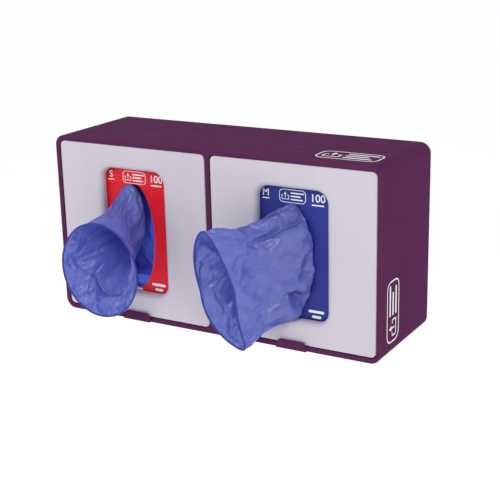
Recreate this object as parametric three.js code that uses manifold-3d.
// Twin-bay wall dispenser for cartons of disposable gloves.
// Units are millimetres. +X is to the right, +Y goes into the wall and +Z is up.
// The origin is the middle of the back face, which lies against the wall.
import * as THREE from "three";
import { ConvexGeometry } from "three/addons/geometries/ConvexGeometry.js";
import { mergeVertices } from "three/addons/utils/BufferGeometryUtils.js";
import Module from "manifold-3d";

const wasm = await Module();
wasm.setup();

// Driving dimensions of the housing.
const WIDTH = 300;
const HEIGHT = 154;
const DEPTH = 94;
const WALL = 3.8;
const BACK_WALL = 3;
const OUTER_RADIUS = 9;
const BAY_RADIUS = 5;
const GAP = 0.3;

// Doors: a skin with a rolled collar round the window, hung on pins near its top edge.
const DOOR_SKIN = 2.5;
const DOOR_RECESS = 0.4;
const DOOR_SIDE_GAP = 0.7;
const DOOR_TOP_GAP = 0.8;
const DOOR_BOTTOM_GAP = 0.7;
const DOOR_RADIUS = 4.3;
const RIB = 1.6;
const WINDOW_WIDTH = 60.8;
const WINDOW_HEIGHT = 105.5;
const WINDOW_RADIUS = 10;
const COLLAR_DEPTH = 6.3;
const COLLAR_WALL = 2;
const LIP_CHAMFER = 2.3;
const HINGE_BELOW_CEILING = 5;
const HINGE_BEHIND_FACE = 2.2;
const BARREL_RADIUS = 2.9;
const BARREL_END_GAP = 2;
const PIN_RADIUS = 1.2;
const PIN_IN_DOOR = 9;
const PIN_IN_WALL = 2;

// Latch tongues in the floor, each with a hook in front of the door's lower edge.
const TONGUE_WIDTH = 27;
const TONGUE_LENGTH = 34;
const HOOK_THICKNESS = 2;
const HOOK_RISE = 3.6;
const HOOK_SLOPE = 3;

// Keyholes in the back wall: the screw's head goes in low and its shank slides up the slot.
const KEYHOLE_Z = 42;
const KEYHOLE_HEAD_RADIUS = 4.5;
const KEYHOLE_SLOT_WIDTH = 4.6;
const KEYHOLE_SLOT_RISE = 9;

// Cartons of folded board, standing against the left side of each bay.
// Their sharp edges rest on the bay's round corners, which keeps them off its walls.
const CARTON_WIDTH = 135.5;
const CARTON_HEIGHT = 132;
const CARTON_OFF_WALL = 1.6;
const CARTON_FRONT = -86;
const BOARD = 1.2;
const OVAL_WIDTH = 36.6;
const OVAL_HEIGHT = 90;

// Gloves lying in each carton, in three bundles, behind the one that comes next.
const BUNDLE_THICKNESS = 11.5;
const BUNDLE_WIDTH = 120;
const BUNDLE_HEIGHT = 118;

// Worked-out positions.
const BAY_WIDTH = (WIDTH - 3 * WALL) / 2;
const BAY_HEIGHT = HEIGHT - 2 * WALL;
const BAY_X = (BAY_WIDTH + WALL) / 2;
const CEILING = HEIGHT / 2 - WALL;
const FLOOR = -CEILING;
const DOOR_FACE = -DEPTH + DOOR_RECESS;
const DOOR_WIDTH = BAY_WIDTH - 2 * DOOR_SIDE_GAP;
const DOOR_TOP = CEILING - DOOR_TOP_GAP;
const DOOR_BOTTOM = FLOOR + DOOR_BOTTOM_GAP;
const HINGE_Y = DOOR_FACE + HINGE_BEHIND_FACE;
const HINGE_Z = CEILING - HINGE_BELOW_CEILING;
const CARTON_BOTTOM = FLOOR + CARTON_OFF_WALL;
const CARTON_Z = CARTON_BOTTOM + CARTON_HEIGHT / 2;
const CARTON_SHIFT = -(BAY_WIDTH - CARTON_WIDTH) / 2 + CARTON_OFF_WALL;
const CARTON_BACK = -BACK_WALL - GAP;
const SIDES = { left: -1, right: 1 };

const FINISHES = {
  housing: { color: 0x563352, roughness: 0.5, metalness: 0 },
  door: { color: 0xcdc8d2, roughness: 0.4, metalness: 0 },
  pin: { color: 0xb9bcc0, roughness: 0.3, metalness: 1 },
  carton_left: { color: 0xd2202c, roughness: 0.6, metalness: 0 },
  carton_right: { color: 0x2d3485, roughness: 0.6, metalness: 0 },
  glove: { color: 0x6c70b8, roughness: 0.55, metalness: 0 },
};

// A closed geometry with merged corners, as a solid that can be joined and cut.
function solid(geometry) {
  geometry.deleteAttribute("normal");
  geometry.deleteAttribute("uv");
  const merged = mergeVertices(geometry, 1e-4);
  return new wasm.Manifold(
    new wasm.Mesh({
      numProp: 3,
      vertProperties: new Float32Array(merged.attributes.position.array),
      triVerts: new Uint32Array(merged.index.array),
    }),
  );
}

// A named mesh from a solid.
function part(name, shape, finish) {
  const { numProp, vertProperties, triVerts } = shape.getMesh();
  const positions = new Float32Array((vertProperties.length / numProp) * 3);
  for (let i = 0; i < positions.length / 3; i++) {
    positions.set(vertProperties.subarray(i * numProp, i * numProp + 3), i * 3);
  }
  const geometry = new THREE.BufferGeometry();
  geometry.setAttribute("position", new THREE.BufferAttribute(positions, 3));
  geometry.setIndex(new THREE.BufferAttribute(new Uint32Array(triVerts), 1));
  const flat = geometry.toNonIndexed();
  flat.computeVertexNormals();
  const mesh = new THREE.Mesh(flat, new THREE.MeshStandardMaterial(finish));
  mesh.name = name;
  return mesh;
}

// A rectangle with round corners, centred on its origin.
function roundedRectangle(width, height, radius) {
  const x = width / 2 - radius;
  const y = height / 2 - radius;
  const shape = new THREE.Shape();
  shape.absarc(x, y, radius, 0, Math.PI / 2);
  shape.absarc(-x, y, radius, Math.PI / 2, Math.PI);
  shape.absarc(-x, -y, radius, Math.PI, 1.5 * Math.PI);
  shape.absarc(x, -y, radius, 1.5 * Math.PI, 2 * Math.PI);
  shape.closePath();
  return shape;
}

// An outline in X and Z, extruded in Y from front to back.
function slab(outline, front, back, x = 0, z = 0, steps = 8) {
  const depth = back - front;
  const geometry = new THREE.ExtrudeGeometry(outline, {
    depth,
    bevelEnabled: false,
    curveSegments: steps,
  });
  geometry.rotateX(Math.PI / 2);
  geometry.translate(x, back, z);
  return solid(geometry);
}

function block(x0, x1, y0, y1, z0, z1) {
  const geometry = new THREE.BoxGeometry(x1 - x0, y1 - y0, z1 - z0);
  geometry.translate((x0 + x1) / 2, (y0 + y1) / 2, (z0 + z1) / 2);
  return solid(geometry);
}

// A rod along X.
function rod(radius, x0, x1, y, z, sides = 24) {
  const geometry = new THREE.CylinderGeometry(radius, radius, x1 - x0, sides);
  geometry.rotateZ(Math.PI / 2);
  geometry.translate((x0 + x1) / 2, y, z);
  return solid(geometry);
}

// Points round an ellipse, given its centre and the ends of its two half-axes.
function ring(centre, halfA, halfB, count = 24) {
  const points = [];
  for (let i = 0; i < count; i++) {
    const angle = (2 * Math.PI * i) / count;
    const point = new THREE.Vector3(...centre);
    point.addScaledVector(new THREE.Vector3(...halfA), Math.cos(angle));
    point.addScaledVector(new THREE.Vector3(...halfB), Math.sin(angle));
    points.push(point);
  }
  return points;
}

// An upright ring, across Y.
function uprightRing(x, y, z, halfWidth, halfHeight) {
  return ring([x, y, z], [halfWidth, 0, 0], [0, 0, halfHeight]);
}

// The tight skin round some rings.
function skin(...rings) {
  return solid(new ConvexGeometry(rings.flat()));
}

// The keyhole's outline: a round hole with a slot above it, where the shank ends up.
function keyhole() {
  const half = KEYHOLE_SLOT_WIDTH / 2;
  const start = Math.asin(half / KEYHOLE_HEAD_RADIUS);
  const shape = new THREE.Shape();
  shape.absarc(0, 0, KEYHOLE_HEAD_RADIUS, Math.PI / 2 + start, 2.5 * Math.PI - start);
  shape.absarc(0, KEYHOLE_SLOT_RISE, half, 0, Math.PI);
  shape.closePath();
  return shape;
}

// One moulding: outer shell, divider and back wall.
// It has blind holes for the outer pins, a through hole in the divider, tongue slots and keyholes.
function housing() {
  let shape = slab(roundedRectangle(WIDTH, HEIGHT, OUTER_RADIUS), -DEPTH, 0);
  const bay = roundedRectangle(BAY_WIDTH, BAY_HEIGHT, BAY_RADIUS);
  const slotHalf = TONGUE_WIDTH / 2 + GAP;
  const slotBack = -DEPTH + TONGUE_LENGTH;
  for (const side of Object.values(SIDES)) {
    const x = side * BAY_X;
    shape = shape.subtract(slab(bay, -DEPTH - 1, -BACK_WALL, x));
    shape = shape.subtract(
      block(x - slotHalf, x + slotHalf, -DEPTH - 1, slotBack, -HEIGHT / 2 - 1, FLOOR + 1),
    );
    shape = shape.subtract(slab(keyhole(), -BACK_WALL - 1, 1, x, KEYHOLE_Z));
    const wall = side * (WIDTH / 2 - WALL);
    const holeEnd = wall + side * (PIN_IN_WALL + GAP);
    const from = Math.min(wall - side, holeEnd);
    const to = Math.max(wall - side, holeEnd);
    shape = shape.subtract(rod(PIN_RADIUS + GAP, from, to, HINGE_Y, HINGE_Z));
  }
  return shape.subtract(rod(PIN_RADIUS + GAP, -WALL, WALL, HINGE_Y, HINGE_Z));
}

// One door: skin, side and bottom ribs, window collar with a chamfered lip, and hinge barrel.
function door(x) {
  const height = DOOR_TOP - DOOR_BOTTOM;
  const middle = (DOOR_TOP + DOOR_BOTTOM) / 2;
  const half = DOOR_WIDTH / 2;
  const ribBack = DOOR_FACE + COLLAR_DEPTH;
  const outline = roundedRectangle(DOOR_WIDTH, height, DOOR_RADIUS);
  const inner = roundedRectangle(DOOR_WIDTH - 2 * RIB, height - 2 * RIB, DOOR_RADIUS - RIB);
  const aboveRibs = HINGE_Z - 2 * BARREL_RADIUS;
  const edge = slab(outline, DOOR_FACE, ribBack, x, middle)
    .subtract(slab(inner, DOOR_FACE - 1, ribBack + 1, x, middle))
    .subtract(block(x - half - 1, x + half + 1, DOOR_FACE - 1, ribBack + 1, aboveRibs, CEILING));
  const collar = roundedRectangle(
    WINDOW_WIDTH + 2 * COLLAR_WALL,
    WINDOW_HEIGHT + 2 * COLLAR_WALL,
    WINDOW_RADIUS + COLLAR_WALL,
  );
  const barrelHalf = half - BARREL_END_GAP;
  const barrel = rod(BARREL_RADIUS, x - barrelHalf, x + barrelHalf, HINGE_Y, HINGE_Z, 32)
    .subtract(block(x - half, x + half, DOOR_FACE - 5, DOOR_FACE, DOOR_BOTTOM, CEILING));
  let shape = slab(outline, DOOR_FACE, DOOR_FACE + DOOR_SKIN, x, middle)
    .add(edge)
    .add(slab(collar, DOOR_FACE, ribBack, x))
    .add(barrel);
  shape = shape.subtract(windowCutter(x, ribBack));
  for (const side of Object.values(SIDES)) {
    const from = x + side * (half - PIN_IN_DOOR - GAP);
    const to = x + side * (half + 1);
    const hole = rod(PIN_RADIUS + GAP, Math.min(from, to), Math.max(from, to), HINGE_Y, HINGE_Z);
    shape = shape.subtract(hole);
  }
  return shape;
}

// The window's throat, widened at the door's face by the lip's chamfer.
function windowCutter(x, back) {
  const throat = roundedRectangle(WINDOW_WIDTH, WINDOW_HEIGHT, WINDOW_RADIUS);
  const flare = new THREE.ExtrudeGeometry(throat, {
    depth: 1,
    bevelThickness: LIP_CHAMFER,
    bevelSize: LIP_CHAMFER,
    bevelSegments: 1,
    curveSegments: 8,
  });
  flare.rotateX(Math.PI / 2);
  flare.translate(x, DOOR_FACE, 0);
  return slab(throat, DOOR_FACE - 1, back + 1, x).add(solid(flare));
}

// A steel pin along the hinge axis.
function hingePin(x0, x1) {
  return rod(PIN_RADIUS, x0, x1, HINGE_Y, HINGE_Z);
}

// A sprung tongue in the floor, with a hook whose ends slope.
function latch(x) {
  const half = TONGUE_WIDTH / 2;
  const bottom = -HEIGHT / 2;
  const hookBack = -DEPTH - GAP;
  const rootY = -DEPTH + TONGUE_LENGTH - 2 * GAP;
  const tongue = block(x - half, x + half, hookBack - 1, rootY, bottom, FLOOR);
  const face = new THREE.Shape();
  face.moveTo(-half, bottom);
  face.lineTo(half, bottom);
  face.lineTo(half, FLOOR);
  face.lineTo(half - HOOK_SLOPE, FLOOR + HOOK_RISE);
  face.lineTo(-half + HOOK_SLOPE, FLOOR + HOOK_RISE);
  face.lineTo(-half, FLOOR);
  return tongue.add(slab(face, hookBack - HOOK_THICKNESS, hookBack, x));
}

// A board carton with an oval opening in its front.
function carton(x) {
  const half = CARTON_WIDTH / 2;
  const top = CARTON_BOTTOM + CARTON_HEIGHT;
  const oval = new THREE.Shape();
  oval.absellipse(0, 0, OVAL_WIDTH / 2, OVAL_HEIGHT / 2, 0, 2 * Math.PI);
  return block(x - half, x + half, CARTON_FRONT, CARTON_BACK, CARTON_BOTTOM, top)
    .subtract(
      block(
        x - half + BOARD,
        x + half - BOARD,
        CARTON_FRONT + BOARD,
        CARTON_BACK - BOARD,
        CARTON_BOTTOM + BOARD,
        top - BOARD,
      ),
    )
    .subtract(slab(oval, CARTON_FRONT - 1, CARTON_FRONT + 2 * BOARD, x, CARTON_Z, 20));
}

// A bundle of flat gloves, with round corners, on the carton's floor.
function bundle(x, index) {
  const back = CARTON_BACK - BOARD - GAP - index * (BUNDLE_THICKNESS + GAP);
  const outline = roundedRectangle(BUNDLE_WIDTH, BUNDLE_HEIGHT, 12);
  const z = CARTON_BOTTOM + BOARD + GAP + BUNDLE_HEIGHT / 2;
  return slab(outline, back - BUNDLE_THICKNESS, back, x, z, 5);
}

// The glove that comes next, humped up behind the oval, with a fold that reaches the oval's
// right edge beside the hand of the glove being drawn.
function nextGlove(x) {
  const hump = skin(
    uprightRing(x, -41, CARTON_Z, 26, 46),
    uprightRing(x, -51, CARTON_Z, 18, 35),
    uprightRing(x, -56.5, CARTON_Z, 8, 17),
  );
  const fold = skin(
    uprightRing(x + 20, -44, CARTON_Z, 4, 34),
    uprightRing(x + 20.5, -83.5, CARTON_Z, 4.5, 30),
  );
  return hump.add(fold);
}

// A glove drawn part of the way out: its cuff in front of the door, and its bunched hand
// behind the oval. The mouth is a ring, given by its centre and two half-axes.
function drawnGlove(x, mouthCentre, mouthAcross, mouthUp) {
  const front = DOOR_FACE - 2;
  const cuff = skin(
    uprightRing(x, front, CARTON_Z + 3, 16, 37),
    ring(mouthCentre, mouthAcross, mouthUp),
  );
  const hand = skin(
    uprightRing(x, front - 2, CARTON_Z + 3, 13, 33),
    uprightRing(x, -72, CARTON_Z + 3, 13, 32),
    uprightRing(x, -60, CARTON_Z + 3, 10, 26),
  );
  return cuff.add(hand);
}

const group = new THREE.Group();
group.add(part("housing", housing(), FINISHES.housing));

const pinReach = BAY_WIDTH / 2 - DOOR_SIDE_GAP - PIN_IN_DOOR;
const outerPinEnd = WIDTH / 2 - WALL + PIN_IN_WALL;
group.add(part("hinge_pin_left", hingePin(-outerPinEnd, -BAY_X - pinReach), FINISHES.pin));
group.add(part("hinge_pin_middle", hingePin(-BAY_X + pinReach, BAY_X - pinReach), FINISHES.pin));
group.add(part("hinge_pin_right", hingePin(BAY_X + pinReach, outerPinEnd), FINISHES.pin));

for (const [name, side] of Object.entries(SIDES)) {
  const x = side * BAY_X;
  const cartonX = x + CARTON_SHIFT;
  group.add(part("door_" + name, door(x), FINISHES.door));
  group.add(part("latch_" + name, latch(x), FINISHES.housing));
  group.add(part("carton_" + name, carton(cartonX), FINISHES["carton_" + name]));
  group.add(part("next_glove_" + name, nextGlove(cartonX), FINISHES.glove));
  ["back", "middle", "front"].forEach((place, index) => {
    const bundleName = "glove_bundle_" + name + "_" + place;
    group.add(part(bundleName, bundle(cartonX, index), FINISHES.glove));
  });
}

// The left cuff hangs straight out with its mouth open to the front.
const leftGlove = drawnGlove(-BAY_X + CARTON_SHIFT, [-76, -140, -20], [36, 0, 0], [0, 0, 38.5]);
group.add(part("glove_left", leftGlove, FINISHES.glove));

// The right cuff is drawn further and sags to the left, with its mouth flattened.
const rightGlove = drawnGlove(BAY_X + CARTON_SHIFT, [39, -138, -21.5], [18.5, -5, 3], [-8.5, -12.5, 50]);
group.add(part("glove_right", rightGlove, FINISHES.glove));

export default group;
